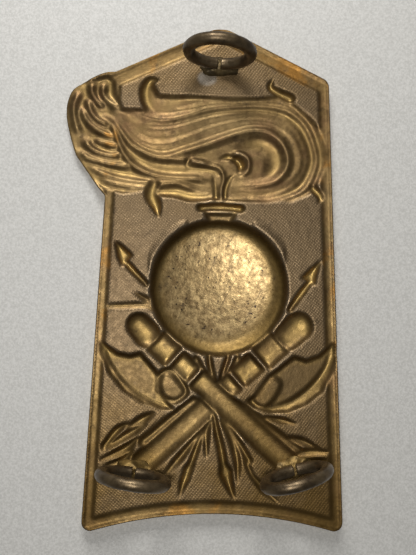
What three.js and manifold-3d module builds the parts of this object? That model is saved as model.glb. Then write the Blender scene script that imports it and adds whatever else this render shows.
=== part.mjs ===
// A die-struck brass cap badge with three wire loops soldered to its hollow back.
// Millimetres, +Z toward the top of the badge. The decorated front faces -Y and the back faces +Y.
// The origin is on the badge's centre line, in the plane of the flat border's back.
//
// Everything is laid out as seen from the back: u runs to the viewer's right, v runs up, and depth
// runs away from the viewer, into the sheet. The whole badge is turned round at the end, so that
// u becomes -X, v becomes Z and depth becomes -Y.

import * as THREE from 'three';
import { mergeVertices } from 'three/addons/utils/BufferGeometryUtils.js';
import Module from 'manifold-3d';

const wasm = await Module();
wasm.setup();

// ---- Driving dimensions -------------------------------------------------------------------

const SHEET = 0.7;              // thickness of the struck sheet

// Outline: a gabled plate, wider at the foot, with a hollowed lower edge
const PEAK_V = 33.9;
const SHOULDER_U = 14.6;        // half the width where the sloping top meets the sides
const SHOULDER_V = 26.9;
const FOOT_U = 17.0;            // half the width at the lower corners
const FOOT_V = -32.6;
const FOOT_RISE = 2.2;          // rise of the hollowed lower edge at its middle
const CORNER = 1.2;             // how far each lower corner is rounded
const PLUME_REACH = 5.5;        // how far the flame stands past the side of the plate
const PLUME_FOOT_V = 10.6;      // where the flame's free edge leaves the side
const PLUME_CROWN_V = 27.3;     // and where it meets the sloping top

// Relief: each shape is a hollow in the back and stands out by the same depth at the front
const BALL_U = 0.3;
const BALL_V = -1.15;
const BALL_RADIUS = 8.75;
const BALL_DEPTH = 2.6;
const BALL_WALL = 2.6;          // how far the ball's round wall leans in
const FLAME_DEPTH = 1.3;
const NECK_WIDTH = 3.4;
const NECK_LENGTH = 3.0;
const NECK_LAP = 0.6;           // how far the neck runs into the ball
const NECK_DEPTH = 1.4;
const HAFT_WIDTH = 3.2;
const HAFT_DEPTH = 1.2;
const BLADE_DEPTH = 0.8;
const ARROW_WIDTH = 1.0;
const ARROW_DEPTH = 0.5;
const HEAD_WIDTH = 2.4;         // width of an arrow's head
const HEAD_LENGTH = 3.4;
const WALL_LEAN = 0.5;          // how far a hollow's wall leans in, for each millimetre of depth

// Wire loops and their solder
const WIRE = 1.5;
const LOOP_WIDTH = 9.5;         // outside width of a loop
const LOOP_SPLIT = 0.4;         // gap where the wire's two ends meet at the foot of a loop
const SEAT_GAP = 0.3;           // clearance between soldered pieces
const FILLET_LENGTH = 3.4;
const FILLET_SIZE = 1.0;        // leg of a solder fillet
const TOP_LOOP_DROP = 5.6;      // from the peak down to the top loop
const LOWER_LOOP_INSET = 6.7;   // from the lower corners in to the lower loops
const LEFT_LOOP_RISE = 7.7;     // from the lower corners up to each lower loop
const RIGHT_LOOP_RISE = 8.2;

// Where each loop stands, and how its foot is turned in the plane of the plate, in degrees
const LOOPS = [
  { name: 'top_loop', u: -0.3, v: PEAK_V - TOP_LOOP_DROP, turn: -2 },
  { name: 'lower_left_loop', u: -FOOT_U + LOWER_LOOP_INSET, v: FOOT_V + LEFT_LOOP_RISE, turn: -8 },
  { name: 'lower_right_loop', u: FOOT_U - LOWER_LOOP_INSET, v: FOOT_V + RIGHT_LOOP_RISE, turn: 14 },
];

// ---- Materials ----------------------------------------------------------------------------

const brass = new THREE.MeshStandardMaterial({ color: 0x8a7345, roughness: 0.48, metalness: 0.85 });
const wireMetal = new THREE.MeshStandardMaterial({ color: 0x5d4e33, roughness: 0.42, metalness: 0.85 });
const solder = new THREE.MeshStandardMaterial({ color: 0x8f8459, roughness: 0.55, metalness: 0.7 });

// ---- Solids -------------------------------------------------------------------------------

function toManifold(geometry) {
  const bare = geometry.clone();
  bare.deleteAttribute('normal');
  bare.deleteAttribute('uv');
  const merged = mergeVertices(bare, 1e-5);
  return new wasm.Manifold(new wasm.Mesh({
    numProp: 3,
    vertProperties: new Float32Array(merged.attributes.position.array),
    triVerts: new Uint32Array(merged.index.array),
  }));
}

function toGeometry(manifold) {
  const mesh = manifold.getMesh();
  const geometry = new THREE.BufferGeometry();
  geometry.setAttribute('position', new THREE.BufferAttribute(new Float32Array(mesh.vertProperties), 3));
  geometry.setIndex(new THREE.BufferAttribute(new Uint32Array(mesh.triVerts), 1));
  geometry.computeVertexNormals();
  return geometry;
}

function named(name, geometry, material) {
  const mesh = new THREE.Mesh(geometry, material.clone());
  mesh.name = name;
  return mesh;
}

// ---- Outline ------------------------------------------------------------------------------

// u of the plate's straight side at height v
function sideU(v) {
  const share = (v - FOOT_V) / (SHOULDER_V - FOOT_V);
  return FOOT_U + (SHOULDER_U - FOOT_U) * share;
}

// The flame's free edge, where it stands past the left side, from its foot up to its crown
function plumeEdge() {
  const reach = (height, share) => {
    const v = PLUME_FOOT_V + (PLUME_CROWN_V - PLUME_FOOT_V) * height;
    return new THREE.Vector2(-sideU(v) - PLUME_REACH * share, v);
  };
  return [
    reach(0, 0), reach(0.1, 0.3), reach(0.25, 0.55), reach(0.45, 0.85), reach(0.6, 1.0),
    reach(0.75, 0.97), reach(0.88, 0.75), reach(0.97, 0.35),
    new THREE.Vector2(-12.9, PLUME_CROWN_V + 0.5),
  ];
}

function outline() {
  const shape = new THREE.Shape();
  const cornerV = FOOT_V + CORNER;
  shape.moveTo(-FOOT_U + CORNER, FOOT_V);
  shape.quadraticCurveTo(0, FOOT_V + 2 * FOOT_RISE, FOOT_U - CORNER, FOOT_V);
  shape.quadraticCurveTo(FOOT_U, FOOT_V, sideU(cornerV), cornerV);
  shape.lineTo(SHOULDER_U, SHOULDER_V);
  shape.lineTo(0, PEAK_V);
  const plume = plumeEdge().reverse();
  shape.lineTo(plume[0].x, plume[0].y);
  shape.splineThru(plume.slice(1));
  shape.lineTo(-sideU(cornerV), cornerV);
  shape.quadraticCurveTo(-FOOT_U, FOOT_V, -FOOT_U + CORNER, FOOT_V);
  return shape;
}

// ---- Relief -------------------------------------------------------------------------------

const closedCurve = (pairs, count) =>
  new THREE.SplineCurve([...pairs, pairs[0]].map(([u, v]) => new THREE.Vector2(u, v)))
    .getPoints(count)
    .slice(1);

// A straight bar with round ends
function bar(from, to, width) {
  const a = new THREE.Vector2(...from);
  const b = new THREE.Vector2(...to);
  const heading = b.clone().sub(a).angle();
  const shape = new THREE.Shape();
  shape.absarc(a.x, a.y, width / 2, heading + Math.PI / 2, heading + 1.5 * Math.PI, false);
  shape.absarc(b.x, b.y, width / 2, heading - Math.PI / 2, heading + Math.PI / 2, false);
  return shape.getPoints(4);
}

// An arrow's head, with its point at tip and its base behind it
function arrowHead(from, tip) {
  const point = new THREE.Vector2(...tip);
  const back = point.clone().sub(new THREE.Vector2(...from)).normalize();
  const across = new THREE.Vector2(-back.y, back.x).multiplyScalar(HEAD_WIDTH / 2);
  const base = point.clone().addScaledVector(back, -HEAD_LENGTH);
  return [point, base.clone().add(across), base.clone().sub(across)];
}

// The flame, blown to the left from the neck of the ball. It runs past the free edge on the left.
const FLAME = closedCurve([
  [-3, 10.2], [2, 10.2], [9, 10.9], [12.4, 12.6], [12.9, 18], [11, 22.6], [7.2, 25], [3, 24.2],
  [-3, 24.8], [-8, 24.6], [-13, 25.2], [-18, 28.6], [-23, 25], [-23, 17], [-18, 11], [-12, 11.2],
  [-8, 10.4],
], 56);

// The two axe blades are crescents that hang from the hafts, mirror images of each other
const bladeCurve = (side) => closedCurve([
  [14.9, -7.8], [13, -9.4], [9.6, -10.2], [7.2, -12.6], [5.2, -15.4], [6.6, -16.7], [9.6, -16.4],
  [12.6, -14], [14.4, -11],
].map(([u, v]) => [side * u, v]), 28);

// Each haft runs from its butt beside the ball to the opposite lower corner
const HAFTS = [
  [[-9.4, -6.4], [9.2, -21.4]],
  [[9.8, -6.3], [-9.2, -21.4]],
];

// Arrows and bolts, each from its tail to its tip
const ARROWS = [
  [[-8.4, -2.4], [-13, 4.6]],
  [[9.2, -3.2], [13, 2.8]],
  [[-0.2, -18.6], [1.9, -28]],
  [[-1.6, -18.6], [-4.8, -27.8]],
  [[1.4, -18.6], [6.6, -27.4]],
];

// The bodies that strike one shape into the sheet: the hollow that is left at the back, and the
// boss that stands out at the front. The shape's points are the edge of the hollow's floor.
function struck(points, depth) {
  const above = 1;
  const push = (top, offset) => {
    const body = new THREE.ExtrudeGeometry(new THREE.Shape(points), {
      depth: top + above, bevelThickness: depth, bevelSize: depth * WALL_LEAN, bevelOffset: offset,
      bevelSegments: 1,
    });
    body.rotateX(Math.PI / 2);
    body.translate(0, top, 0);
    return toManifold(body);
  };
  return [push(0, 0), push(SHEET, SHEET)];
}

// The ball's dish: a near-flat floor and a round wall
function struckBall() {
  const dish = (radius, depth, top) => {
    const wall = [new THREE.Vector2(0, depth)];
    const steps = 5;
    for (let i = 0; i <= steps; i++) {
      const angle = (Math.PI / 2) * (1 - i / steps);
      wall.push(new THREE.Vector2(
        radius - BALL_WALL + BALL_WALL * Math.cos(angle),
        top + (depth - top) * Math.sin(angle)));
    }
    wall.push(new THREE.Vector2(radius, -1), new THREE.Vector2(0, -1));
    const body = new THREE.LatheGeometry(wall.reverse(), 40);
    body.translate(BALL_U, 0, BALL_V);
    return toManifold(body);
  };
  return [dish(BALL_RADIUS, BALL_DEPTH, 0), dish(BALL_RADIUS + SHEET, BALL_DEPTH + SHEET, SHEET)];
}

function slab(from, to) {
  const body = new THREE.ExtrudeGeometry(outline(), {
    depth: to - from, bevelEnabled: false, curveSegments: 10,
  });
  body.rotateX(Math.PI / 2);
  body.translate(0, to, 0);
  return toManifold(body);
}

function makePlate() {
  const neckFoot = BALL_V + BALL_RADIUS - NECK_LAP;
  const haftFloor = HAFT_WIDTH - 2 * WALL_LEAN * HAFT_DEPTH;
  const shapes = [
    struck(FLAME, FLAME_DEPTH),
    struckBall(),
    struck(bar([BALL_U, neckFoot], [BALL_U, neckFoot + NECK_LENGTH], NECK_WIDTH), NECK_DEPTH),
    ...[-1, 1].map((side) => struck(bladeCurve(side), BLADE_DEPTH)),
    ...HAFTS.map(([from, to]) => struck(bar(from, to, haftFloor), HAFT_DEPTH)),
    ...ARROWS.map(([from, to]) => struck(bar(from, to, ARROW_WIDTH), ARROW_DEPTH)),
    ...ARROWS.map(([from, to]) => struck(arrowHead(from, to), ARROW_DEPTH)),
  ];
  let plate = slab(0, SHEET);
  for (const [, boss] of shapes) plate = plate.add(boss);
  plate = plate.intersect(slab(0, BALL_DEPTH + 2 * SHEET));
  for (const [hollow] of shapes) plate = plate.subtract(hollow);
  return named('plate', toGeometry(plate), brass);
}

// ---- Loops --------------------------------------------------------------------------------

// A ring of wire in the local x-y plane, standing on y = 0, with its split at its foot
class RingPath extends THREE.Curve {
  getPoint(t, target = new THREE.Vector3()) {
    const radius = (LOOP_WIDTH - WIRE) / 2;
    const split = (LOOP_SPLIT / 2 / radius);
    const angle = -Math.PI / 2 + split + t * (2 * Math.PI - 2 * split);
    return target.set(radius * Math.cos(angle), radius * Math.sin(angle) + LOOP_WIDTH / 2, 0);
  }
}

function wireSection(sides) {
  const points = [];
  for (let i = 0; i < sides; i++) {
    const angle = (2 * Math.PI * i) / sides;
    points.push(new THREE.Vector2(Math.cos(angle), Math.sin(angle)).multiplyScalar(WIRE / 2));
  }
  return new THREE.Shape(points);
}

function makeLoop({ name }) {
  const ring = new THREE.ExtrudeGeometry(wireSection(10), {
    steps: 32, bevelEnabled: false, extrudePath: new RingPath(),
  });
  return named(name, toGeometry(toManifold(ring)), wireMetal);
}

// A bead of solder in the corner between the wire's foot and the plate, on one side of the wire
function makeFillet({ name }, side) {
  const profile = new THREE.Shape();
  profile.moveTo(0, 0);
  profile.lineTo(FILLET_SIZE, 0);
  profile.quadraticCurveTo(FILLET_SIZE * 0.55, FILLET_SIZE * 0.55, 0, FILLET_SIZE);
  const bead = new THREE.ExtrudeGeometry(profile, {
    depth: FILLET_LENGTH, bevelEnabled: false, curveSegments: 6,
  });
  bead.translate(0, 0, -FILLET_LENGTH / 2);
  bead.rotateY(side * Math.PI / 2);
  bead.translate(0, 0, -side * (WIRE / 2 + SEAT_GAP));
  const which = side > 0 ? 'upper' : 'lower';
  return named(name.replace('_loop', '_solder_') + which, toGeometry(toManifold(bead)), solder);
}

// Stands a loop and its two beads of solder on the back of the plate
function standLoop(loop) {
  const stand = new THREE.Group();
  stand.add(makeLoop(loop), makeFillet(loop, 1), makeFillet(loop, -1));
  stand.rotation.x = Math.PI;
  const turned = new THREE.Group();
  turned.add(stand);
  turned.rotation.y = THREE.MathUtils.degToRad(-loop.turn);
  turned.position.set(loop.u, -SEAT_GAP, loop.v);
  return turned;
}

const group = new THREE.Group();
group.add(makePlate());
for (const loop of LOOPS) group.add(standLoop(loop));
group.rotation.z = Math.PI;
group.updateMatrixWorld(true);

export default group;
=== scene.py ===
"""A die-struck brass cap badge, seen from its hollow back, with three wire loops soldered to it.

The relief is laid out in millimetres as seen from the back: u runs to the viewer's right, v runs up
and depth runs away from the viewer. World X is -u, world Y is -depth and world Z is v.
"""
import math

import bpy
import numpy as np
from mathutils import Matrix, Vector, noise
from mathutils.geometry import delaunay_2d_cdt


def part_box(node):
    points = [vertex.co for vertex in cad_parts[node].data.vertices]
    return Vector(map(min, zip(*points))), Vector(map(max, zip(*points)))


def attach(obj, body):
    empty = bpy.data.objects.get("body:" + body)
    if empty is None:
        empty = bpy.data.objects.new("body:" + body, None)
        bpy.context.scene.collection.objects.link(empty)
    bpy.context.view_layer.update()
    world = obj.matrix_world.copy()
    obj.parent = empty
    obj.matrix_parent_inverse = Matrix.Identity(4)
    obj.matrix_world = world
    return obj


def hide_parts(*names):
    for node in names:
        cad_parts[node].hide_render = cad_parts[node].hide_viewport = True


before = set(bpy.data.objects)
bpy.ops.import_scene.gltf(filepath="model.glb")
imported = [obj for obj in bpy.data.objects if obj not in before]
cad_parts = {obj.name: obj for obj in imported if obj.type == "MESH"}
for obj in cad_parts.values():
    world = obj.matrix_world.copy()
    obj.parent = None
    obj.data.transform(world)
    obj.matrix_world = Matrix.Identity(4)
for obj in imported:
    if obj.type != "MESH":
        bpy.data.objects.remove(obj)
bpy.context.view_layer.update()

MM = 0.001
plate_low, plate_high = (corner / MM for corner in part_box("plate"))

# ---- Sizes of the plate, in millimetres ------------------------------------------------------

FOOT_U = -plate_low.x
FOOT_V = plate_low.z
PEAK_V = plate_high.z
SHOULDER_U, SHOULDER_V = 14.6, 26.9
FOOT_RISE = 2.2
CORNER = 1.3
SHEET = 0.6                    # thickness of the metal
FRONT_REACH = -plate_low.y     # how far the front may stand out
BALL_U, BALL_V, BALL_RADIUS = 0.3, -1.15, 8.75
BALL_DEPTH = FRONT_REACH - SHEET - 0.15
BALL_LIP = 0.24                # height of the ring raised round the ball
FLOOR_SHIFT = (-0.35, 0.4)     # the ball's floor sits a little off its centre
BORDER_SIDE, BORDER_TOP, BORDER_FOOT = 1.45, 1.95, 1.6     # widths of the border
BORDER_STEP = 0.26             # how far the border lies below the field
BACK_SET = 0.2                 # the field's depth below the back's highest plane
FLAME_STEP, FLAME_SLOPE = 0.55, 0.3      # depth of the flame at its edge, and what it gains further in
RIDGE_HEIGHT = 0.6             # height of the flame's crest lines
CREST_HALF, TIP_HALF = 1.05, 0.9         # half widths of those lines
HAFT_SHARE = 0.8               # share of its nominal depth that a haft is sunk
SOFTNESS = 0.15                # radius of the blur that rounds all edges of the relief
RELIEF_PITCH = 0.1             # spacing of the relief's grid
BACK_PITCH, FRONT_PITCH = 0.2, 0.25      # spacing of the plate's vertices
EDGE_ROUND = 0.14              # how far the rounded edge reaches in
EDGE_RINGS = [(0.3, 0.06), (0.0, 0.22), (0.0, 0.62), (0.3, 0.9)]   # shares of that, and of the thickness
TABLE_DEPTH = 2.05             # the table stops short of the ball, which sinks into it


# ---- Curves ------------------------------------------------------------------------------------

def curve(points, closed=False, step=0.12):
    """Points every `step` along a smooth curve through `points`, whose rows may hold more values."""
    p = np.array(points, float)
    if closed:
        p = np.vstack([p[-1], p, p[0], p[1]])
    else:
        p = np.vstack([2 * p[0] - p[1], p, 2 * p[-1] - p[-2]])
    out = []
    for a, b, c, d in zip(p, p[1:], p[2:], p[3:]):
        count = max(2, int(np.hypot(*(c - b)[:2]) / step))
        t = (np.arange(count) / count)[:, None]
        out.append(0.5 * (2 * b + (c - a) * t + (2 * a - 5 * b + 4 * c - d) * t ** 2
                          + (3 * b - a - 3 * c + d) * t ** 3))
    if not closed:
        out.append(p[-2:-1])
    return np.vstack(out)


def resample(line, count):
    """The same line as `count` points spaced evenly along it."""
    run = np.r_[0, np.cumsum(np.hypot(*np.diff(line[:, :2], axis=0).T))]
    at = np.linspace(0, run[-1], count)
    return np.stack([np.interp(at, run, column) for column in line.T], 1)


# ---- Outline -----------------------------------------------------------------------------------

def side_u(v):
    """Half the plate's width at height v, leaving the flame out."""
    return FOOT_U + (SHOULDER_U - FOOT_U) * (v - FOOT_V) / (SHOULDER_V - FOOT_V)


def arc(corner, start, end, count=8):
    """A rounded corner from start to end."""
    t = np.linspace(0, 1, count)[:, None]
    return (1 - t) ** 2 * np.array(start) + 2 * t * (1 - t) * np.array(corner) + t ** 2 * np.array(end)


FREE_EDGE = [(-14.95, 10.7), (-15.9, 11.8), (-16.9, 13.2), (-18.1, 14.9), (-18.9, 16.1), (-19.5, 17.8),
             (-20.0, 19.6), (-20.3, 21.4), (-20.2, 23.2), (-19.5, 24.8), (-18.0, 25.8), (-16.3, 26.7),
             (-15.0, 27.15), (-13.9, 27.25)]


def outline():
    """The plate's edge, anticlockwise, as closely spaced points."""
    up = FOOT_V + CORNER
    slope = (SHOULDER_V - PEAK_V) / SHOULDER_U
    u = np.linspace(-FOOT_U + CORNER, FOOT_U - CORNER, 120)
    hollow = FOOT_V + FOOT_RISE * (1 - (u / (FOOT_U - CORNER)) ** 2)
    round_u = 0.8
    parts = [
        np.c_[u, hollow],
        arc((FOOT_U, FOOT_V - 0.1), (u[-1], hollow[-1]), (side_u(up), up)),
        arc((SHOULDER_U, SHOULDER_V), (side_u(SHOULDER_V - round_u), SHOULDER_V - round_u),
            (SHOULDER_U - round_u, SHOULDER_V - slope * round_u)),
        arc((0, PEAK_V), (1.6, PEAK_V + slope * 1.6), (-1.6, PEAK_V + slope * 1.6)),
        curve(FREE_EDGE)[::-1],
        arc((-FOOT_U, FOOT_V - 0.1), (-side_u(up), up), (u[0], hollow[0])),
    ]
    line = np.vstack(parts)
    line = np.vstack([line, line[:1]])
    length = np.hypot(*np.diff(line, axis=0).T).sum()
    return resample(line, int(length / BACK_PITCH))[:-1]


EDGE = outline()

# ---- Relief ------------------------------------------------------------------------------------

grid_u = np.arange(-21.5, 18.5, RELIEF_PITCH)
grid_v = np.arange(-33.5, 35.0, RELIEF_PITCH)
U, V = np.meshgrid(grid_u, grid_v)
BALL_R = np.hypot(U - BALL_U, V - BALL_V)
FLOOR_R = np.hypot(U - BALL_U - FLOOR_SHIFT[0], V - BALL_V - FLOOR_SHIFT[1])


def smooth(x, low, high):
    t = np.clip((x - low) / (high - low), 0, 1)
    return t * t * (3 - 2 * t)


def blur(field, radius):
    """Gaussian blur by a radius in millimetres."""
    reach = int(3 * radius / RELIEF_PITCH)
    kernel = np.exp(-0.5 * (np.arange(-reach, reach + 1) * RELIEF_PITCH / radius) ** 2)
    kernel /= kernel.sum()
    padded = np.pad(field, reach, mode="edge")
    rows = sum(w * padded[:, i:i + field.shape[1]] for i, w in enumerate(kernel))
    return sum(w * rows[i:i + field.shape[0]] for i, w in enumerate(kernel))


def patch(low, high):
    """The part of the grid that covers a box, as slices."""
    i0, i1 = np.searchsorted(grid_u, [low[0], high[0]])
    j0, j1 = np.searchsorted(grid_v, [low[1], high[1]])
    return slice(max(j0 - 1, 0), j1 + 1), slice(max(i0 - 1, 0), i1 + 1)


def inside(points, margin=2.0, closed_curve=False):
    """Signed distance to a closed shape over its patch of the grid, positive inside."""
    p = curve(points, closed=True, step=0.5) if closed_curve else np.array(points, float)
    area = patch(p.min(0) - margin, p.max(0) + margin)
    u, v = U[area], V[area]
    nearest = np.full(u.shape, 1e9)
    odd = np.zeros(u.shape, bool)
    for a, b in zip(p, np.roll(p, -1, axis=0)):
        d = b - a
        t = np.clip(((u - a[0]) * d[0] + (v - a[1]) * d[1]) / (d @ d), 0, 1)
        nearest = np.minimum(nearest, np.hypot(u - a[0] - t * d[0], v - a[1] - t * d[1]))
        if a[1] != b[1]:
            crosses = ((a[1] > v) != (b[1] > v)) & (u < a[0] + (v - a[1]) / d[1] * d[0])
            odd ^= crosses
    return area, np.where(odd, nearest, -nearest)


def sweep(field, line, roundness=1.0):
    """Carves a round brush along a line of (u, v, half width, depth) rows into a field."""
    for u, v, half, depth in line:
        if half <= 0.02:
            continue
        area = patch((u - half, v - half), (u + half, v + half))
        q = ((U[area] - u) ** 2 + (V[area] - v) ** 2) / half ** 2
        field[area] = np.maximum(field[area], depth * np.clip(1 - q, 0, 1) ** roundness)


def lock(field, points, halves, depth, roundness=0.8, fade=0.5):
    """A trough along a smooth curve. `halves` are its half widths at the curve's points."""
    rows = [(u, v, h, 1.0) for (u, v), h in zip(points, halves)]
    line = curve(rows)
    line[:, 3] = depth * np.clip(line[:, 2] / max(halves), 0.1, 1) ** fade
    sweep(field, line, roundness)


def sink(field, points, depth, run=0.4, closed_curve=False):
    """A flat-floored hollow with a sloping wall."""
    area, d = inside(points, closed_curve=closed_curve)
    field[area] = np.maximum(field[area], depth * smooth(d, -0.1, run))


def level(field, points, depth, run=0.35, closed_curve=False):
    """Brings what lies inside a shape to one depth."""
    area, d = inside(points, closed_curve=closed_curve)
    share = smooth(d, -run / 2, run / 2)
    field[area] = field[area] * (1 - share) + depth * share


def ridges(lines, half, strengths=None):
    """Sharp raised lines that fade out toward their ends, as heights from 0 to 1 over the grid."""
    raised = np.zeros_like(U)
    for index, points in enumerate(lines):
        scale = strengths[index] if strengths else 1.0
        line = curve(points, step=0.06)
        run = np.linspace(0, 1, len(line))
        fade = np.minimum(smooth(run, -0.04, 0.16), smooth(1 - run, -0.04, 0.16))
        for (u, v), strength in zip(line, fade * scale):
            area = patch((u - half, v - half), (u + half, v + half))
            q = np.hypot(U[area] - u, V[area] - v) / half
            raised[area] = np.maximum(raised[area], strength * np.clip(1 - q, 0, 1) ** 1.4)
    return raised


def crest(field, points, half, height):
    """A single raised line."""
    field -= height * ridges([points], half)


# The crest lines of the flame, from its root round the swirl and out to the tips on the left
CRESTS = [
    [(1.3, 12.3), (3.2, 12.4), (5.4, 12.6), (7.6, 13.2), (9.0, 14.8), (9.2, 16.6), (8.4, 18.5), (6.6, 19.8),
     (4.4, 20.0), (1.8, 19.3), (-1.5, 18.0), (-4.6, 16.9), (-7.2, 16.1), (-9.6, 16.5), (-11.7, 17.7),
     (-13.1, 19.4), (-14.2, 20.9), (-16.6, 21.7)],
    [(1.7, 11.3), (3.8, 11.5), (6.2, 11.9), (8.6, 12.8), (10.4, 14.4), (10.9, 16.6), (9.9, 19.2),
     (7.8, 20.9), (5.2, 21.4), (2.2, 21.1), (-1.2, 20.1), (-4.2, 18.8), (-6.6, 17.9), (-9.0, 17.8),
     (-10.9, 18.6), (-12.3, 20.2), (-13.7, 21.7), (-15.4, 22.6), (-17.0, 22.1)],
    [(2.1, 10.9), (4.6, 10.9), (7.6, 11.4), (10.2, 12.8), (11.6, 14.9), (11.9, 17), (10.7, 19.9),
     (8.6, 21.7), (5.6, 22.4), (2.4, 22.3), (-1.2, 21.6), (-4.2, 20.5), (-6.8, 19.8), (-9.2, 19.8),
     (-11.4, 20.6)],
    [(2.6, 10.5), (5.4, 10.4), (8.6, 10.8), (11.4, 12.2), (12.8, 14.8), (13, 17.2), (11.7, 20.6), (9.2, 22.7),
     (6, 23.3), (2.6, 23.2), (-1.2, 22.7), (-4.3, 21.8), (-7, 21.2), (-9.8, 21.4), (-12.6, 22.3)],
    [(3.2, 10.1), (6.4, 9.8), (9.8, 10.2), (12.4, 11.6), (13.8, 14.6), (13.9, 17.4), (12.5, 21.2),
     (9.6, 23.6), (6.2, 24.2), (2.6, 24), (-1.2, 23.8), (-4.4, 23.2), (-6.8, 22.6), (-8.4, 22.8)],
]
CREST_STRENGTHS = [1.0, 0.4, 0.45, 0.8, 0.35, 0.9]
OUTER_CREST = [(11.4, 10.5), (13.4, 12.0), (14.6, 14.6), (14.8, 17.6), (13.4, 21.2), (10.4, 24.2),
               (7.6, 25.3), (4.2, 24.8), (0, 24.8), (-4, 24.9), (-6.4, 24.6), (-8, 24.7)]

# The crest lines of the flame's free end
TIP_CRESTS = [
    [(-0.8, 15.0), (-3, 15.6), (-5.2, 15.9), (-7.4, 15.9), (-9.7, 16.2)],
    [(-0.6, 13.0), (-3, 13.3), (-5.5, 13.3), (-8, 13.5), (-10.2, 14.2), (-11.6, 15.1), (-12.7, 16.5),
     (-13.5, 18.2), (-14.2, 20.0), (-15.3, 21)],
    [(-3.4, 12.7), (-6, 12.7), (-8.4, 12.6), (-11, 12.7), (-13.6, 13.1), (-15.6, 13.8), (-17.4, 14.8)],
    [(-3.0, 12.1), (-5.2, 12.2), (-8, 11.9), (-11, 12.0), (-13.8, 12.4), (-15.9, 13.1)],
    [(-11.4, 14.7), (-13.6, 14.9), (-15.6, 15.2), (-17.3, 15.7), (-18.4, 16.6)],
    [(-12.7, 16.4), (-14.2, 16.1), (-15.8, 16.4), (-17, 17), (-17.9, 18.2)],
    [(-13.4, 17.4), (-14.8, 17.6), (-16.4, 18.1)],
    [(-13.6, 18.5), (-15.0, 18.9), (-16.5, 19.7), (-17.7, 20.9), (-18.3, 22.4)],
    [(-14.6, 20.2), (-15.6, 20.5), (-16.5, 21.1), (-17.2, 22.2), (-17.5, 23.6)],
    [(-15.4, 22.6), (-16.4, 23.4), (-17.0, 24.6), (-16.9, 25.6)],
    [(-13.4, 22.4), (-14.8, 23.3), (-15.5, 24.3), (-15.4, 25.6)],
    [(-12.7, 22.9), (-13.3, 24), (-13.6, 25.2), (-13.5, 26.2)],
    [(-18.6, 19.0), (-19.2, 20.8), (-19.3, 22.8), (-18.6, 24.4)],
]

# The flame's deeper places, under its crest lines: their points, half widths and depth
HOLLOWS = [
    ([(-1.5, 15.9), (1.8, 17.4), (5.0, 18.0), (7.2, 17.0), (7.3, 15.2), (6.0, 14.3), (3.8, 14.2)],
     [0.6, 1.9, 2.7, 2.8, 2.6, 2.0, 0.8], 1.2),
    ([(-17.6, 22.0), (-15.6, 21.9), (-13.9, 20.5), (-12.3, 18.2), (-10.6, 16.2), (-8.4, 15.0), (-5, 14.7),
      (-1.8, 14.4)], [0.2, 0.9, 1.4, 2.1, 2.5, 2.2, 1.6, 0.5], 0.95),
    ([(3.0, 11.4), (7.0, 11.4), (10.8, 13.0), (12.6, 16.4), (11.2, 20.2), (7.4, 22.4), (2, 22.6),
      (-4, 21.6), (-9, 20.4)], [0.8, 1.5, 2.2, 2.5, 2.4, 2.2, 2.2, 2.0, 0.5], 1.1),
    ([(-17.4, 19.6), (-15.6, 17.6), (-13.4, 15.2)], [1.6, 2.4, 1.0], 1.0),
]

# Single locks: their points, half widths and depth
LOCKS = [
    ([(-5.6, 22.0), (-8.0, 22.1), (-9.4, 23.2), (-9.8, 24.8), (-9.3, 26.1), (-8.4, 26.3)],
     [0.4, 0.8, 1.0, 0.9, 0.6, 0.2], 0.85),
    ([(0.0, 16.1), (1.2, 16.4), (2.3, 16.1), (3.0, 15.4), (2.8, 14.5)], [0.25, 0.55, 0.7, 0.7, 0.3], 1.6),
    ([(-3.2, 16.5), (-4.1, 15.7), (-4.2, 14.9), (-3.1, 14.7), (-1.2, 14.5), (0.2, 14.0)],
     [0.15, 0.4, 0.5, 0.6, 0.7, 0.6], 1.1),
    ([(-8.5, 12.4), (-8.8, 11.0), (-8.2, 9.5), (-7.8, 8.0)], [0.9, 1.0, 0.7, 0.1], 0.85),
    ([(-7.8, 11.5), (-5.6, 11.6), (-3.6, 11.2), (-1.2, 11.3), (-0.2, 12.6)],
     [0.8, 1.05, 1.1, 0.9, 0.5], 0.9),
    ([(0.9, 10.9), (1.0, 12.2), (1.5, 13.4), (2.2, 14.0)], [0.4, 0.45, 0.45, 0.3], 1.2),
    ([(-0.3, 10.9), (-0.4, 12.4), (-0.6, 13.8)], [0.5, 0.5, 0.4], 1.05),
    ([(12.6, 12.4), (13.6, 11.3), (13.4, 10.3)], [0.6, 0.45, 0.1], 0.75),
    ([(9.4, 24.4), (7.6, 25.2), (6.7, 25.9), (7.1, 26.9)], [0.7, 0.55, 0.4, 0.1], 0.85),
]

# The flame's outline, which runs past the plate's free edge
FLAME_GROUND = [(-2.6, 10.3), (0.4, 10.1), (3.4, 10.1), (6.4, 9.9), (9.8, 10.2), (12.4, 11.4), (13.4, 12.4),
                (14.4, 15), (14.6, 18), (13.0, 21.4), (10.4, 23.8), (7.6, 25.0), (4.2, 24.6), (0, 24.6),
                (-4, 24.7), (-8, 24.6), (-8.8, 25.8), (-9.8, 25.8), (-10.3, 24.4), (-10.2, 22.6),
                (-12.8, 22.6), (-13.0, 26.2), (-15, 26.9), (-18, 26.2), (-22, 25), (-22, 18), (-18, 13),
                (-15.4, 11.4), (-12.6, 10.9), (-9.4, 11.2), (-7.0, 10.8)]


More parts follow.
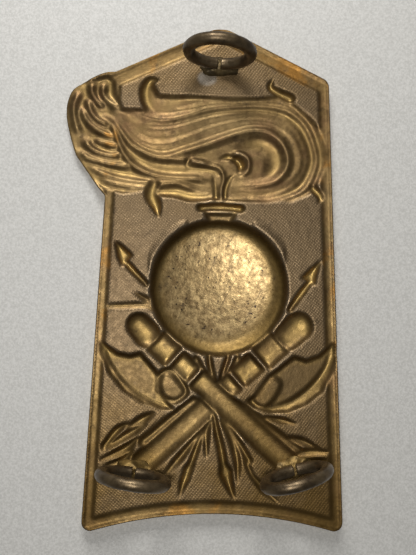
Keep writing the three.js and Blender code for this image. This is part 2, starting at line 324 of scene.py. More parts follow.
def flame(field):
    area, d = inside(FLAME_GROUND)
    field[area] = np.maximum(field[area], FLAME_STEP * smooth(d, -0.1, 0.7) + FLAME_SLOPE * smooth(d, 0, 2.4))
    for points, halves, depth in HOLLOWS:
        lock(field, points, halves, depth, 1.1, 1.0)
    strands = ridges([*CRESTS, OUTER_CREST], CREST_HALF, CREST_STRENGTHS)
    tips = ridges(TIP_CRESTS, TIP_HALF)
    field -= np.minimum(RIDGE_HEIGHT * np.maximum(strands, tips), field)
    crest(field, OUTER_CREST, 0.55, 0.22)
    for points, halves, depth in LOCKS:
        lock(field, points, halves, depth)
    gap = [(-12.5, 26.1), (-11.2, 26.3), (-10.8, 25.2), (-10.6, 23.6), (-10.3, 22.9), (-12.7, 23.0)]
    level(field, gap, 0.0)
    crest(field, [(0.5, 10.3), (0.4, 12), (0.7, 13.5), (0.1, 14.9), (-1.4, 15.3)], 0.35, 0.45)
    crest(field, [(1.2, 15.7), (2.5, 16.9), (3.9, 16.2), (3.9, 14.6), (2.9, 13.9)], 0.45, 0.5)
    crest(field, [(3.2, 26.45), (4.2, 26.3), (5.6, 26.1)], 0.35, 0.3)


def ball(field):
    wall = smooth(BALL_RADIUS + 0.3 - BALL_R, -0.2, 0.6) * 0.46
    slope = smooth(BALL_RADIUS - 0.2 - FLOOR_R, -0.6, 1.1) * 0.16
    bowl = np.clip(1 - (FLOOR_R / BALL_RADIUS) ** 2, 0, 1) * 0.38
    np.maximum(field, BALL_DEPTH * (wall + slope + bowl), out=field)
    neck_foot = 8.2
    lip = np.exp(-((BALL_R - BALL_RADIUS - 0.85) / 0.5) ** 2) * smooth(neck_foot - V, 0, 1)
    field -= BALL_LIP * lip
    lock(field, [(-2.3, 9.4), (0.3, 9.6), (3.0, 9.4)], [0.5, 0.55, 0.5], 1.0, 0.6)
    sink(field, [(-2.0, 8.9), (2.6, 8.9), (1.9, 7.2), (-1.3, 7.2)], 0.75, 0.5)


# ---- Arms: two axes, arrows and a sheaf of bolts ------------------------------------------------

# Each haft's line from its butt to its far end, then the pieces along it: where each starts and
# ends as shares of the line, its half width and its depth
HAFTS = [
    ([(10.9, -5.6), (-9.8, -24.5)],
     [(0.12, 0.252, 2.0, 1.35), (0.262, 0.392, 1.65, 1.2), (0.40, 1.0, 1.6, 1.05)]),
    ([(-10.6, -5.6), (10.6, -24.6)],
     [(0.126, 0.246, 1.8, 1.4), (0.256, 0.372, 1.5, 1.25), (0.38, 1.0, 1.65, 1.2)]),
]
BUTTS = [([(10.8, -6.1), (9.4, -7.4)], [1.95, 1.85]), ([(-10.1, -6.2), (-9.0, -7.4)], [1.6, 1.75])]


def bar(field, line, start, end, half, depth):
    """A straight half-round trough with square ends, between two shares of a line."""
    a, b = (np.array(point, float) for point in line)
    length = np.hypot(*(b - a))
    along = (b - a) / length
    area = patch(np.minimum(a, b) - 3, np.maximum(a, b) + 3)
    du, dv = U[area] - a[0], V[area] - a[1]
    s = du * along[0] + dv * along[1]
    q = np.abs(du * along[1] - dv * along[0]) / half
    ends = smooth(s - start * length, -0.1, 0.45) * smooth(end * length - s, -0.1, 0.45)
    section = np.clip(1 - q ** 3.2, 0, 1) ** 0.7
    field[area] = np.maximum(field[area], HAFT_SHARE * depth * section * ends)


# The outlines of the axes' blades, left and right
BLADES = [
    [(-15.2, -7.9), (-15.0, -9.8), (-13.9, -12.4), (-12.0, -14.7), (-9.4, -16.3), (-7, -17.1),
     (-5.2, -17.1), (-6.0, -16.2), (-7.4, -14.6), (-7.4, -12.4), (-9.8, -9.7), (-11.2, -10.1),
     (-12.8, -9.8), (-14.2, -8.9)],
    [(15.7, -7.9), (16.0, -9.8), (15.4, -12.2), (14.1, -14.6), (12.0, -16.3), (9.6, -17.3), (7.4, -17.4),
     (5.2, -16.8), (4.0, -15.9), (5.2, -15.1), (6.9, -12.6), (10.3, -9.9), (12.0, -10.4), (13.6, -9.8),
     (14.8, -8.7)],
]


def axes(field):
    # left axe
    sink(field, BLADES[0], 0.85, 0.35)
    crest(field, [(-15.0, -8.2), (-14.2, -10.6), (-12.8, -12.9), (-10.8, -14.9), (-8.4, -16.3), (-6, -17)],
          0.3, 0.55)
    sink(field, [(-7.6, -12.4), (-5.6, -11.6), (-3.4, -14.6), (-5.2, -16.4), (-7.4, -15.6), (-7.8, -14)],
         0.8, 0.4, True)
    level(field, [(-6.9, -12.6), (-5.8, -12.5), (-4.3, -14.1), (-4.0, -15.0), (-5.2, -15.9), (-6.6, -15.4),
                  (-7.2, -14)], 0.32, 0.6, True)
    # right axe
    sink(field, BLADES[1], 0.75, 0.35)
    lock(field, [(15.3, -8.6), (14.7, -11.4), (12.8, -14.1), (10.2, -16.0), (6.9, -16.9)],
         [0.35, 0.8, 1.0, 0.9, 0.35], 1.15, 0.9)
    level(field, [(7.0, -13.0), (5.2, -15.2), (5.4, -16.2), (6.6, -16.7), (7.9, -15.4), (8.7, -13.6),
                  (7.9, -12.8)], 0.35, 0.5, True)
    for haft, shares in HAFTS:
        for start, end, half, depth in shares:
            bar(field, haft, start, end, half, depth)
    for points, halves in BUTTS:
        lock(field, points, halves, 1.1, 0.5)
    crest(field, [(-2.9, -14.5), (-1.4, -15.9), (0.1, -17.3)], 0.4, 0.4)
    crest(field, [(0.4, -13.6), (1.8, -14.8), (3.3, -16.0)], 0.4, 0.4)
    # the thin rod above each haft's lower half
    lock(field, [(-2.8, -15.9), (-5.8, -18.3), (-9.2, -21.2)], [0.6, 0.75, 0.7], 0.7)
    lock(field, [(3.8, -16.6), (7.4, -19.6), (11.4, -22.4)], [0.5, 0.7, 0.6], 0.55)
    crest(field, [(-2.8, -15.1), (-5.4, -17.2), (-9.2, -20.7)], 0.25, 0.35)


# Arrowheads and barbs as outlines, and shafts, feathers and bolts as locks
HEADS = [
    ([(-13.6, 4.9), (-12.6, 4.3), (-11.0, 2.9), (-11.5, 2.5), (-11.9, 1.9), (-12.5, 1.3), (-13.1, 2.6)],
     0.75),
    ([(13.9, 2.9), (13.3, 0.9), (13.0, -0.7), (12.2, -0.3), (11.7, 0.1), (11.0, 0.3), (12.4, 1.7)], 0.75),
    ([(-11.3, -1.7), (-9.9, -2.1), (-9.5, -2.3), (-8.7, -2.5), (-8.4, -3.7), (-9.6, -3.1)], 0.6),
    ([(-2.2, -22.6), (-2.6, -24.4), (-3.1, -26), (-4.5, -28.5), (-4.4, -26.4), (-3.9, -24.4)], 0.6),
    ([(0.8, -22.6), (2.4, -24.8), (2.5, -26.2), (2.8, -28.7), (1.7, -27.2), (0.7, -25.4)], 0.75),
    ([(3.4, -22.8), (4.6, -24.0), (5.2, -25.3), (6.4, -26.4), (8.9, -29.3), (6.2, -27.6), (4.8, -25.7)],
     0.6),
]
BOLTS = [
    ([(-12.2, 2.2), (-11.0, 0.9), (-9.2, -0.9)], [0.35, 0.4, 0.35], 0.7),
    ([(12.3, -0.2), (11.2, -1.7), (9.7, -3.8)], [0.4, 0.45, 0.4], 0.75),
    ([(-14.0, -3.8), (-12.0, -3.7), (-9.4, -3.6), (-8.2, -4.2)], [0.35, 0.45, 0.45, 0.3], 0.35),
    ([(-0.1, -17.8), (0.3, -19.8), (0.9, -22.2), (1.3, -24.4)], [0.35, 0.4, 0.45, 0.5], 0.75),
    ([(-0.6, -18.6), (-1.1, -20.4), (-1.0, -22.9)], [0.3, 0.45, 0.15], 0.6),
    ([(-0.8, -19.0), (-2.0, -21.2), (-3.0, -24.0)], [0.3, 0.4, 0.4], 0.6),
    ([(-0.6, -18.6), (-2.6, -20.9), (-4.6, -23.4), (-6.2, -25.2)], [0.25, 0.4, 0.55, 0.15], 0.6),
    ([(0.9, -18.4), (2.2, -20.6), (3.0, -23.4), (3.1, -26.2)], [0.25, 0.5, 0.45, 0.12], 0.6),
    ([(1.5, -18.6), (3.0, -21.0), (4.6, -23.6)], [0.3, 0.45, 0.4], 0.6),
    ([(-0.9, -9.9), (-0.6, -11.8), (0.2, -13.6)], [0.35, 0.35, 0.15], 0.7),
    ([(1.7, -10.0), (1.1, -11.9), (0.4, -13.6)], [0.35, 0.35, 0.15], 0.7),
    ([(2.9, -10.2), (2.3, -11.4), (1.4, -12.6)], [0.4, 0.35, 0.15], 0.6),
    ([(-2.6, -10.4), (-2.0, -11.4), (-1.2, -12.4)], [0.4, 0.35, 0.15], 0.6),
]
FEATHERS = [
    ([(-8.0, -17.6), (-9.4, -18.4), (-11.2, -19.4)], [0.2, 0.6, 0.25], 0.6),
    ([(-9.0, -19.0), (-11.0, -20.2), (-14.2, -22.2)], [0.2, 0.6, 0.2], 0.6),
    ([(-11.2, -18.9), (-12.6, -19.8), (-14.3, -21.9)], [0.15, 0.45, 0.35], 0.65),
    ([(-10.0, -20.8), (-11.6, -22.2), (-14.6, -23.6)], [0.2, 0.6, 0.2], 0.6),
    ([(-10.6, -22.4), (-11.8, -23.6), (-13.6, -24.2)], [0.2, 0.55, 0.3], 0.55),
    ([(6.6, -18.0), (8.6, -18.3), (10.6, -18.8)], [0.2, 0.45, 0.15], 0.6),
    ([(9.8, -23.2), (12.0, -22.5), (14.9, -22.4)], [0.2, 0.7, 0.2], 0.65),
    ([(10.6, -24.8), (12.6, -23.8), (14.6, -23.4)], [0.25, 0.75, 0.2], 0.65),
    ([(8.6, -20.4), (11.4, -21.0), (13.8, -22.0)], [0.15, 0.55, 0.15], 0.5),
]


def arms(field):
    axes(field)
    for points, depth in HEADS:
        sink(field, points, depth, 0.4)
    for points, halves, depth in [*BOLTS, *FEATHERS]:
        lock(field, points, halves, depth)


# ---- The border ---------------------------------------------------------------------------------

def border_room():
    """Distance in from the gabled edge, the flame left out, as a share of the border's width."""
    slope = math.atan2(PEAK_V - SHOULDER_V, SHOULDER_U)
    side = (side_u(V) - np.abs(U)) * 0.999 / BORDER_SIDE
    top = (PEAK_V - (PEAK_V - SHOULDER_V) * np.abs(U) / SHOULDER_U - V) * math.cos(slope) / BORDER_TOP
    arch = FOOT_V + FOOT_RISE * (1 - (U / (FOOT_U - CORNER)) ** 2)
    bottom = (V - arch) / BORDER_FOOT
    return np.minimum(np.minimum(side, top), bottom)


ROOM = border_room()


def relief():
    """Depth of the back below its highest plane, over the grid."""
    ornament = np.zeros_like(U)
    flame(ornament)
    ball(ornament)
    arms(ornament)
    rim = BORDER_STEP * smooth(ROOM, 0.1, 0.3) * (1 - smooth(ROOM, 0.93, 1.03))
    rim *= 1 - smooth(ornament, 0.02, 0.25)
    covered = smooth(ornament, 0.08, 0.3)
    lip = blur(covered, 0.32) * (1 - covered)
    return blur(ornament + rim - 0.03 * lip, SOFTNESS) + BACK_SET


def thickened(depth):
    """The other face of a sheet of even thickness: the furthest reach of a ball rolled over this one."""
    reach = int(SHEET / RELIEF_PITCH)
    out = depth + SHEET
    rows, columns = depth.shape
    padded = np.pad(depth, reach, mode="edge")
    for dj in range(-reach, reach + 1):
        for di in range(-reach, reach + 1):
            left = SHEET ** 2 - (dj ** 2 + di ** 2) * RELIEF_PITCH ** 2
            if left > 0:
                moved = padded[reach + dj:reach + dj + rows, reach + di:reach + di + columns]
                np.maximum(out, moved + math.sqrt(left), out=out)
    return out


EDGE_GAP = np.full(U.shape, -1.0)          # how far each point of the grid lies inside the edge
edge_area, edge_gap = inside(EDGE[::3])
EDGE_GAP[edge_area] = edge_gap
DEPTH = relief()
FRONT = thickened(DEPTH)


def blade_floors():
    """1 on the flat of each blade, inside its bevel."""
    floors = np.zeros_like(U)
    for outline_points in BLADES:
        area, d = inside(outline_points)
        floors[area] = np.maximum(floors[area], smooth(d, 0.3, 1.2))
    return floors


# What the materials read at each vertex, from 0 to 1
near = blur(DEPTH, 0.5)
wide = blur(DEPTH, 1.2)
slope_v, slope_u = np.gradient(DEPTH, RELIEF_PITCH)
LAYERS = {
    # painted shade: the relief's steep walls are darkened in colour, where shade falls
    "steep_wall_shade": smooth(blur(np.hypot(slope_u, slope_v), 0.1), 0.5, 1.5),
    "disc": smooth(BALL_RADIUS - FLOOR_R, 0.1, 2.6),
    "hollow": smooth(DEPTH - wide, 0.05, 0.5),
    # the crests: real wear, and a painted highlight along them
    "crest_wear_and_highlight": smooth(near - DEPTH, 0.14, 0.40),
    "ground": (1 - smooth(DEPTH, 0.24, 0.4)) * smooth(ROOM, 1.0, 1.1),
    # the ball's wall: its own darker gold, and painted shade on the wall
    "bowl": smooth(BALL_RADIUS + 0.3 - BALL_R, 0.0, 0.4),
    "border": (1 - smooth(ROOM, 1.0, 1.2)) * smooth(ROOM, -0.4, 0.0) * (1 - smooth(DEPTH, 0.5, 0.8)),
    # darker towards the bottom as painted shade where the light falls off, and a little darker at the top
    "foot_shade_top_dark": np.maximum(smooth(-V, 6, 26), 0.4 * smooth(V, 23, 27)),
    # the blades' flats, which the colour darkens as painted shade
    "blade": blade_floors(),
    "smear": smooth(1 - np.hypot((U + 1.8) / 1.5, (V - 26.7) / 1.2), 0, 0.45),
    "groove": smooth(blur(FRONT, 0.6) - FRONT, 0.02, 0.25),
}


def sample(field, points):
    """A grid's values at (u, v) points, bilinear."""
    i = np.clip((points[:, 0] - grid_u[0]) / RELIEF_PITCH, 0, len(grid_u) - 1.001)
    j = np.clip((points[:, 1] - grid_v[0]) / RELIEF_PITCH, 0, len(grid_v) - 1.001)
    i0, j0 = i.astype(int), j.astype(int)
    s, t = i - i0, j - j0
    return ((field[j0, i0] * (1 - s) + field[j0, i0 + 1] * s) * (1 - t)
            + (field[j0 + 1, i0] * (1 - s) + field[j0 + 1, i0 + 1] * s) * t)


def to_world(u, v, depth):
    return np.c_[-u, -depth, v] * MM


# ---- Meshes -------------------------------------------------------------------------------------

def make_object(name, vertices, faces, materials, smooth_shaded=True):
    mesh = bpy.data.meshes.new(name)
    mesh.from_pydata([tuple(v) for v in vertices], [], [tuple(f) for f in faces])
    mesh.validate()
    for material in materials:
        mesh.materials.append(material)
    if smooth_shaded:
        mesh.polygons.foreach_set("use_smooth", [True] * len(mesh.polygons))
    piece = bpy.data.objects.new(name, mesh)
    bpy.context.collection.objects.link(piece)
    return piece


def inset(line, distance):
    """The closed outline moved inward."""
    ahead = np.roll(line, -2, axis=0) - np.roll(line, 2, axis=0)
    normal = np.c_[-ahead[:, 1], ahead[:, 0]] / np.hypot(*ahead.T)[:, None]
    return line + normal * distance


def flat_points(rim, pitch):
    """The rim's points and a staggered grid inside it, with the triangles between them."""
    columns, rows = (np.arange(axis[0], axis[-1], pitch) for axis in (grid_u, grid_v))
    grid = np.stack(np.meshgrid(columns, rows), -1)
    grid[1::2, :, 0] += pitch / 2
    grid = grid.reshape(-1, 2)
    grid = grid[sample(EDGE_GAP, grid) > EDGE_ROUND + pitch * 0.55]
    points = [Vector(p) for p in np.vstack([rim, grid])]
    made = delaunay_2d_cdt(points, [], [list(range(len(rim)))], 1, 1e-7)
    return np.array([tuple(v) for v in made[0]]), [tuple(f) for f in made[2]]


def make_plate(back_material, front_material):
    """The back and the front as height fields, and the rounded edge between them."""
    rim = inset(EDGE, EDGE_ROUND)
    back, back_faces = flat_points(rim, BACK_PITCH)
    front, front_faces = flat_points(rim, FRONT_PITCH)
    back_depth, front_depth = sample(DEPTH, back), sample(FRONT, front)
    vertices = [to_world(*back.T, back_depth), to_world(*front.T, front_depth)]
    for move, share in EDGE_RINGS:
        ring = inset(EDGE, move * EDGE_ROUND)
        depth = back_depth[:len(rim)] * (1 - share) + front_depth[:len(rim)] * share
        vertices.append(to_world(*ring.T, depth))
    faces = [f[::-1] for f in back_faces] + [tuple(i + len(back) for i in f) for f in front_faces]
    rings = [len(back) + len(front) + k * len(rim) for k in range(len(EDGE_RINGS))]
    starts = [0, *rings, len(back)]
    for a, b in zip(starts, starts[1:]):
        for i in range(len(rim)):
            j = (i + 1) % len(rim)
            faces.append((a + i, a + j, b + j, b + i))
    piece = make_object("struck_plate", np.vstack(vertices), faces, [back_material, front_material])
    index = np.zeros(len(faces), np.int32)
    index[len(back_faces):len(back_faces) + len(front_faces)] = 1
    piece.data.polygons.foreach_set("material_index", index)
    for name, field in LAYERS.items():
        on_rim = sample(field, rim)
        values = np.r_[sample(field, back), sample(field, front), np.tile(on_rim, len(EDGE_RINGS))]
        layer = piece.data.attributes.new(name, "FLOAT", "POINT")
        layer.data.foreach_set("value", values.astype(np.float32))
    return piece


# ---- Materials ----------------------------------------------------------------------------------

class Nodes:
    """Short ways to build a material's node tree."""

    def __init__(self, name):
        self.material = bpy.data.materials.new(name)
        self.material.use_nodes = True
        self.tree = self.material.node_tree
        self.shader = self.tree.nodes["Principled BSDF"]

    def add(self, kind, inputs=(), **settings):
        node = self.tree.nodes.new("ShaderNode" + kind)
        for key, value in settings.items():
            setattr(node, key, value)
        for key, value in dict(inputs).items():
            self.put(node.inputs[key], value)
        return node

    def put(self, socket, value):
        if isinstance(value, bpy.types.NodeSocket):
            self.tree.links.new(value, socket)
        elif socket.type == "RGBA" and len(value) == 3:
            socket.default_value = (*value, 1)
        else:
            socket.default_value = value

    def place(self):
        return self.add("TexCoord").outputs["Object"]

    def attribute(self, name):
        return self.add("Attribute", attribute_name=name).outputs["Fac"]

    def noise(self, scale, detail=4.0, rough=0.6, vector=None, distortion=0.0):
        return self.add("TexNoise", {
            "Vector": vector or self.place(), "Scale": scale, "Detail": detail, "Roughness": rough,
            "Distortion": distortion}).outputs["Fac"]

    def range(self, value, low, high, to_low=0.0, to_high=1.0):
        return self.add("MapRange", {0: value, 1: low, 2: high, 3: to_low, 4: to_high},
                        interpolation_type="SMOOTHSTEP").outputs[0]

    def math(self, operation, a, b=0.0):
        node = self.add("Math", operation=operation)
        self.put(node.inputs[0], a)
        self.put(node.inputs[1], b)
        return node.outputs[0]

    def mix(self, factor, a, b, blend="MIX"):
        node = self.add("Mix", data_type="RGBA", blend_type=blend)
        self.put(node.inputs[0], factor)
        self.put(node.inputs[6], a)
        self.put(node.inputs[7], b)
        return node.outputs[2]

    def bump(self, height, distance, strength=1.0, normal=None):
        node = self.add("Bump", {"Height": height, "Distance": distance, "Strength": strength})
        if normal:
            self.put(node.inputs["Normal"], normal)
        return node.outputs[0]

    def finish(self, color, roughness, metallic, normal):
        for name, value in (("Base Color", color), ("Roughness", roughness), ("Metallic", metallic),
                            ("Normal", normal)):
            self.put(self.shader.inputs[name], value)
        return self.material


def weave(n, angle, pitch):
    """Fine parallel grooves, as heights from 0 to 1."""
    turned = n.add("Mapping", {"Vector": n.place(), "Rotation": (0, math.radians(angle), 0)})
    return n.add("TexWave", {"Vector": turned.outputs[0], "Scale": 0.314 / pitch, "Distortion": 2.5,
                             "Detail": 1.0, "Detail Scale": 0.4}, bands_direction="X").outputs["Fac"]


def scratches(n, angle, scale):
    """Noise drawn out into fine straight lines."""
    drawn = n.add("Mapping", {"Vector": n.place(), "Rotation": (0, math.radians(angle), 0)})
    drawn = n.add("Mapping", {"Vector": drawn.outputs[0], "Scale": (1, 1, 0.045)})
    return n.noise(scale * 7, 2, 0.5, drawn.outputs[0])


def brass_back():
    n = Nodes("aged_brass_back")
    layer = {name: n.attribute(name) for name in LAYERS if name != "groove"}
    mottle = n.noise(230, 5, 0.65)
    blotch = n.noise(70, 3, 0.5)
    fine = n.noise(1500, 4, 0.7)
    grain = n.noise(4200, 3, 0.75)
    tooth = n.math("MULTIPLY", weave(n, 38, 0.00034), weave(n, -52, 0.00030))

    color = n.mix(n.range(mottle, 0.3, 0.7), (0.086, 0.055, 0.021), (0.194, 0.128, 0.052))
    color = n.mix(n.range(blotch, 0.35, 0.7, 0.0, 0.55), color, (0.130, 0.073, 0.021))
    red = n.range(n.noise(120, 5, 0.7, distortion=0.6), 0.48, 0.66, 0.0, 0.7)
    color = n.mix(red, color, (0.110, 0.059, 0.025))
    stain = n.range(n.noise(330, 6, 0.72, distortion=0.3), 0.50, 0.64, 0.0, 0.6)
    color = n.mix(stain, color, (0.062, 0.036, 0.013))
    gold = n.math("MULTIPLY", layer["hollow"], n.range(mottle, 0.28, 0.62, 0.25, 1.0))
    color = n.mix(gold, color, (0.320, 0.210, 0.066))
    field = n.mix(n.range(tooth, 0.1, 0.6), (0.104, 0.070, 0.036), (0.144, 0.100, 0.055))
    field = n.mix(n.range(blotch, 0.42, 0.68, 0.0, 0.5), field, (0.088, 0.056, 0.024))
    color = n.mix(n.math("MULTIPLY", layer["ground"], 0.9), color, field)
    # painted shade: darkens the flats of the blades
    color = n.mix(n.math("MULTIPLY", layer["blade"], 0.6), color, (0.070, 0.046, 0.020))
    face = n.mix(n.range(n.noise(1100, 5, 0.75), 0.38, 0.60), (0.120, 0.078, 0.032), (0.250, 0.175, 0.078))
    face = n.mix(n.range(n.noise(190, 4, 0.6), 0.42, 0.68, 0.0, 0.5), face, (0.105, 0.068, 0.026))
    face = n.mix(n.range(n.noise(1900, 2, 0.5), 0.66, 0.70), face, (0.030, 0.019, 0.010))
    for angle, scale in ((28, 340), (-61, 410)):
        face = n.mix(n.range(scratches(n, angle, scale), 0.66, 0.70, 0.0, 0.55), face, (0.060, 0.040, 0.018))
    # darker gold on the ball's wall, partly its own tone and partly painted shade
    color = n.mix(n.math("MULTIPLY", layer["bowl"], 0.85), color, (0.108, 0.066, 0.016))
    color = n.mix(layer["disc"], color, face)
    rust = n.range(n.noise(150, 4, 0.6, distortion=0.4), 0.52, 0.66)
    color = n.mix(n.math("MULTIPLY", rust, layer["border"]), color, (0.21, 0.098, 0.018))
    # darkens the plate towards the bottom as painted shade, and a little at the top, in uneven patches
    foot_shade_top_dark = n.math("MULTIPLY", layer["foot_shade_top_dark"], n.range(n.noise(110, 4, 0.6), 0.35, 0.62, 0.30, 0.85))
    color = n.mix(foot_shade_top_dark, color, (0.092, 0.052, 0.011))
    # painted shade: darkens the steep walls
    color = n.mix(n.math("MULTIPLY", layer["steep_wall_shade"], 0.15), color, (0.040, 0.027, 0.013))
    # lightens the crests, partly as real wear and partly as a painted highlight
    color = n.mix(n.math("MULTIPLY", layer["crest_wear_and_highlight"], 0.16), color, (0.40, 0.33, 0.24))
    grime = n.range(n.noise(620, 6, 0.7), 0.54, 0.74, 0.0, 0.6)
    color = n.mix(grime, color, (0.035, 0.023, 0.012))

    spill = n.math("MULTIPLY", layer["smear"], n.range(mottle, 0.35, 0.6, 0.35, 1.0))
    color = n.mix(spill, color, (0.30, 0.265, 0.215))

    dull = n.range(fine, 0.2, 0.8, 0.36, 0.54)
    rubbed = n.math("MAXIMUM", layer["crest_wear_and_highlight"], layer["disc"])
    roughness = n.math("SUBTRACT", dull, n.math("MULTIPLY", rubbed, 0.10))
    normal = n.bump(n.math("MULTIPLY", tooth, layer["ground"]), 0.000016, 0.8)
    normal = n.bump(n.noise(800, 3, 0.55), 0.00007, 0.8, normal)
    normal = n.bump(fine, 0.00003, 0.5, normal)
    normal = n.bump(grain, 0.00001, 0.6, normal)
    return n.finish(color, roughness, 0.85, normal)


def brass_front():
    n = Nodes("aged_brass_front")
    groove = n.attribute("groove")
    mottle = n.noise(220, 5, 0.65)
    fine = n.noise(1400, 4, 0.7)
    color = n.mix(n.range(mottle, 0.3, 0.7), (0.26, 0.18, 0.07), (0.38, 0.27, 0.11))
    color = n.mix(n.math("MULTIPLY", groove, 0.85), color, (0.07, 0.045, 0.02))
    roughness = n.range(fine, 0.2, 0.8, 0.3, 0.5)
    normal = n.bump(fine, 0.00003, 0.5)
    return n.finish(color, roughness, 0.9, normal)


def wire_metal():
    n = Nodes("dark_wire")
    mottle = n.noise(420, 5, 0.65)
    fine = n.noise(2600, 3, 0.6)
    color = n.mix(n.range(mottle, 0.3, 0.7), (0.058, 0.040, 0.022), (0.140, 0.100, 0.054))
    roughness = n.range(fine, 0.2, 0.8, 0.3, 0.5)
    return n.finish(color, roughness, 0.85, n.bump(fine, 0.00003, 0.5))


def solder_metal(name, dark, light):
    n = Nodes(name)
    mottle = n.noise(600, 5, 0.65)
    color = n.mix(n.range(mottle, 0.35, 0.65), dark, light)
    roughness = n.range(mottle, 0.2, 0.8, 0.38, 0.62)
    return n.finish(color, roughness, 0.7, n.bump(mottle, 0.0001, 0.7))


# ---- Build --------------------------------------------------------------------------------------

plate = make_plate(brass_back(), brass_front())
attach(plate, "root")
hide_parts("plate")


# Each loop's node, how its foot is turned in the plane of the plate, in degrees, and how far the
# top of its ring leans in u and v
LOOPS = [
    ("top_loop", -2, -0.5, 0.4),
    ("lower_left_loop", -8, 0.3, 0.2),
    ("lower_right_loop", 14, -1.2, -0.3),
]
WIRE = 1.56                    # the wire's diameter
RING_POINTS, RING_SIDES = 150, 28
LUMP_HALF_U, LUMP_HALF_V, LUMP_HEIGHT = 2.6, 1.35, 0.85
LUMP_SPOKES, LUMP_ROWS = 72, 22


def tube(path, radius, sides):
    """Rings of points round a path, with the faces between them and over its two ends."""
    ahead = np.gradient(path, axis=0)
    ahead /= np.linalg.norm(ahead, axis=1)[:, None]
    flat = np.cross(ahead[0], ahead[len(path) // 4])
    flat /= np.linalg.norm(flat)
    out = np.cross(ahead, flat)
    turn = np.linspace(0, 2 * math.pi, sides, endpoint=False)
    rings = (path[:, None] + radius[:, :, None] * (np.cos(turn)[None, :, None] * flat
                                                   + np.sin(turn)[None, :, None] * out[:, None]))
    points = rings.reshape(-1, 3)
    faces = []
    for i in range(len(path) - 1):
        for j in range(sides):
            k = (j + 1) % sides
            faces.append((i * sides + j, i * sides + k, (i + 1) * sides + k, (i + 1) * sides + j))
    last = len(points) - sides
    faces += [tuple(range(sides))[::-1], tuple(range(last, last + sides))]
    return points, faces


def make_loop(node, turn, lean_u, lean_v, material):
    low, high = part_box(node)
    height = (high.y - low.y) / MM
    foot = np.array([(low.x + high.x) / 2, low.y, (low.z + high.z) / 2]) / MM
    radius = (height - WIRE) / 2
    gap = 0.06                     # half the angle between the wire's two ends
    angle = np.linspace(gap, 2 * math.pi - gap, RING_POINTS)
    across = np.array([-math.cos(math.radians(turn)), 0, math.sin(math.radians(turn))])
    rise = (1 - np.cos(angle)) / 2
    path = (foot + radius * np.sin(angle)[:, None] * across
            + (WIRE / 2 + 2 * radius * rise)[:, None] * np.array([0, 1, 0])
            + (rise ** 1.5)[:, None] * np.array([-lean_u, 0, lean_v]))
    near_foot = np.minimum(angle, 2 * math.pi - angle)
    thin = 1 - 0.10 * np.exp(-(near_foot / 0.25) ** 2)
    nicks = np.array([[noise.noise(Vector(p) * 0.9 + Vector((0, 0, k * 0.45))) for k in range(RING_SIDES)]
                      for p in path])
    points, faces = tube(path, WIRE / 2 * thin[:, None] * (1 + 0.05 * nicks), RING_SIDES)
    piece = make_object(node + "_wire", points * MM, faces, [material])
    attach(piece, "root")
    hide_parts(node)


def make_lump(name, u, v, turn, material, nodes):
    """A lump of solder that has run out over the plate, thin at its ragged edge."""
    spokes, rows = LUMP_SPOKES, LUMP_ROWS
    angle = np.linspace(0, 2 * math.pi, spokes, endpoint=False)
    ragged = 1 + 0.22 * np.array([noise.noise(Vector((math.cos(a) * 2 + u, math.sin(a) * 2 + v, 3)))
                                  for a in angle])
    share = np.linspace(0, 1, rows)
    c, s = math.cos(math.radians(turn)), math.sin(math.radians(turn))
    x = LUMP_HALF_U * np.outer(share, np.cos(angle) * ragged)
    y = LUMP_HALF_V * np.outer(share, np.sin(angle) * ragged)
    flat = np.stack([u + c * x - s * y, v + s * x + c * y], -1).reshape(-1, 2)
    lumps = np.array([noise.noise(Vector((p[0] * 0.9, p[1] * 0.9, 7))) + 0.5 * noise.noise(
        Vector((p[0] * 2.3, p[1] * 2.3, 1))) for p in flat])
    dome = np.repeat(np.clip(1 - share ** 2, 0, 1) ** 0.7, spokes) * LUMP_HEIGHT * (1 + 0.45 * lumps)
    ground = sample(DEPTH, flat)
    top = to_world(flat[:, 0], flat[:, 1], ground - dome - 0.02)
    foot = to_world(flat[-spokes:, 0], flat[-spokes:, 1], ground[-spokes:] + 0.12)
    points = np.vstack([top[spokes - 1:], foot])
    points[0] = top[:spokes].mean(0)
    faces = [(0, 1 + j, 1 + (j + 1) % spokes) for j in range(spokes)]
    for i in range(rows - 1):
        for j in range(spokes):
            k = (j + 1) % spokes
            a, b = 1 + i * spokes, 1 + (i + 1) * spokes
            faces.append((a + j, b + j, b + k, a + k))
    last = 1 + (rows - 1) * spokes
    faces.append(tuple(range(last, last + spokes))[::-1])
    piece = make_object(name, points, faces, [material])
    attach(piece, "root")
    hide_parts(*nodes)


wire = wire_metal()
dull_solder = solder_metal("dull_solder", (0.045, 0.031, 0.013), (0.120, 0.082, 0.032))
gold_solder = solder_metal("gold_solder", (0.080, 0.050, 0.014), (0.230, 0.145, 0.042))
for node, turn, lean_u, lean_v in LOOPS:
    make_loop(node, turn, lean_u, lean_v, wire)
    low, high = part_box(node)
    stem = node.replace("_loop", "_solder")
    make_lump(stem, -(low.x + high.x) / 2 / MM, (low.z + high.z) / 2 / MM, turn,
              dull_solder if node == "top_loop" else gold_solder, (stem + "_upper", stem + "_lower"))

# ---- Camera, light and stage ----------------------------------------------------------------------

LENS = 48.0
YAW, PITCH, ROLL = 3.0, -3.0, 1.15       # how the plate is turned to the camera, in degrees
CAMERA_DISTANCE = 96.9
CAMERA_SHIFT = (1.22, -0.20)             # where the plate's origin lies beside the line of sight
TABLE_REACH, TABLE_SIDES, HOLE_GAP = 600, 64, 0.8
# Each light's u, v, height over the back (negative: in front of the plate), size and power
LIGHTS = {
    "window": (-20, 130, 105, 70, 0.30),
    "lamp": (-18, -14, 150, 30, 0.13),
    "front_window": (8, 20, -190, 60, 0.26),
}
SKY_BACK, SKY_FRONT = 0.21, 0.62         # strength of the even light behind the back and before the front


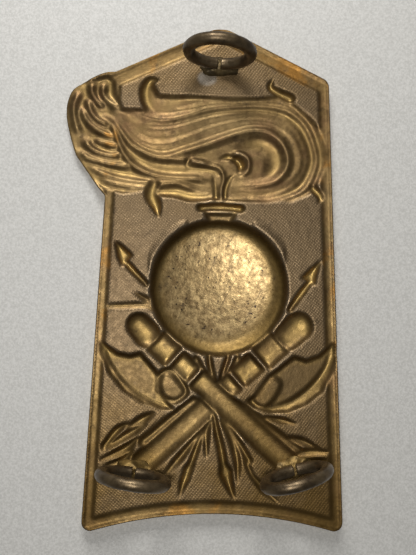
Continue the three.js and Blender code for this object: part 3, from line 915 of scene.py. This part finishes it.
def make_camera():
    data = bpy.data.cameras.new("camera")
    data.sensor_width = 36.0
    data.lens = LENS
    camera = bpy.data.objects.new("camera", data)
    bpy.context.collection.objects.link(camera)
    turn_x, turn_y, turn_z = (Matrix.Rotation(math.radians(angle), 3, axis)
                              for angle, axis in ((PITCH, "X"), (YAW, "Y"), (-ROLL, "Z")))
    plate_in_camera = turn_y @ turn_x @ turn_z       # columns: the plate's u, v and outward axes
    middle = Vector((*CAMERA_SHIFT, -CAMERA_DISTANCE))
    eye = plate_in_camera.transposed() @ -middle     # in u, v, outward
    to_row = Matrix(((-1, 0, 0), (0, 0, 1), (0, 1, 0)))
    camera.matrix_world = (to_row @ plate_in_camera.transposed()).to_4x4()
    camera.location = to_row @ eye * MM
    data.clip_start, data.clip_end = 0.001, 10
    bpy.context.scene.camera = camera


def area_light(name, u, v, height, size, power):
    """A soft square light on the back's side of the plate, or in front of it where height is negative."""
    data = bpy.data.lights.new(name, "AREA")
    data.size = size * MM
    data.energy = power
    light = bpy.data.objects.new(name, data)
    light.location = Vector((-u, height, v)) * MM
    light.rotation_mode = "QUATERNION"
    light.rotation_quaternion = (-light.location).to_track_quat("-Z", "Y")
    light.visible_camera = False
    bpy.context.collection.objects.link(light)


def make_table():
    """A pale ring round the ball, which sinks into its hole. It is seen from the back's side only."""
    n = Nodes("pale_table")
    speckle = n.noise(3600, 3, 0.7)
    color = n.mix(n.range(speckle, 0.3, 0.7), (0.33, 0.322, 0.300), (0.43, 0.420, 0.395))
    n.finish(color, 0.6, 0.0, n.bump(speckle, 0.00005, 0.4))
    clear = n.add("BsdfTransparent")
    switch = n.add("MixShader", {0: n.add("NewGeometry").outputs["Backfacing"], 1: n.shader.outputs[0],
                                 2: clear.outputs[0]})
    n.put(n.tree.nodes["Material Output"].inputs["Surface"], switch.outputs[0])
    count = TABLE_SIDES
    turn = np.linspace(0, 2 * math.pi, count, endpoint=False)
    around = np.c_[np.cos(turn), np.sin(turn)]
    flat = np.vstack([around * TABLE_REACH, around * (BALL_RADIUS + HOLE_GAP)]) + (BALL_U, BALL_V)
    faces = [(i, (i + 1) % count, count + (i + 1) % count, count + i) for i in range(count)]
    points = to_world(*flat.T, np.full(len(flat), TABLE_DEPTH))
    table = make_object("table", points, faces, [n.material], smooth_shaded=False)
    table.visible_shadow = table.visible_diffuse = table.visible_glossy = False


def make_world():
    """Even light, stronger on the front's side."""
    world = bpy.data.worlds.new("studio")
    world.use_nodes = True
    tree = world.node_tree
    tree.nodes["Background"].inputs["Color"].default_value = (0.80, 0.79, 0.76, 1)
    split = tree.nodes.new("ShaderNodeSeparateXYZ")
    level = tree.nodes.new("ShaderNodeMapRange")
    for socket, value in ((1, -0.5), (2, 0.0), (3, SKY_FRONT), (4, SKY_BACK)):
        level.inputs[socket].default_value = value
    tree.links.new(tree.nodes.new("ShaderNodeTexCoord").outputs["Generated"], split.inputs[0])
    tree.links.new(split.outputs["Y"], level.inputs[0])
    tree.links.new(level.outputs[0], tree.nodes["Background"].inputs["Strength"])
    bpy.context.scene.world = world


bpy.context.scene.view_settings.view_transform = "Standard"
make_camera()
make_table()
make_world()
for name, row in LIGHTS.items():
    area_light(name, *row)
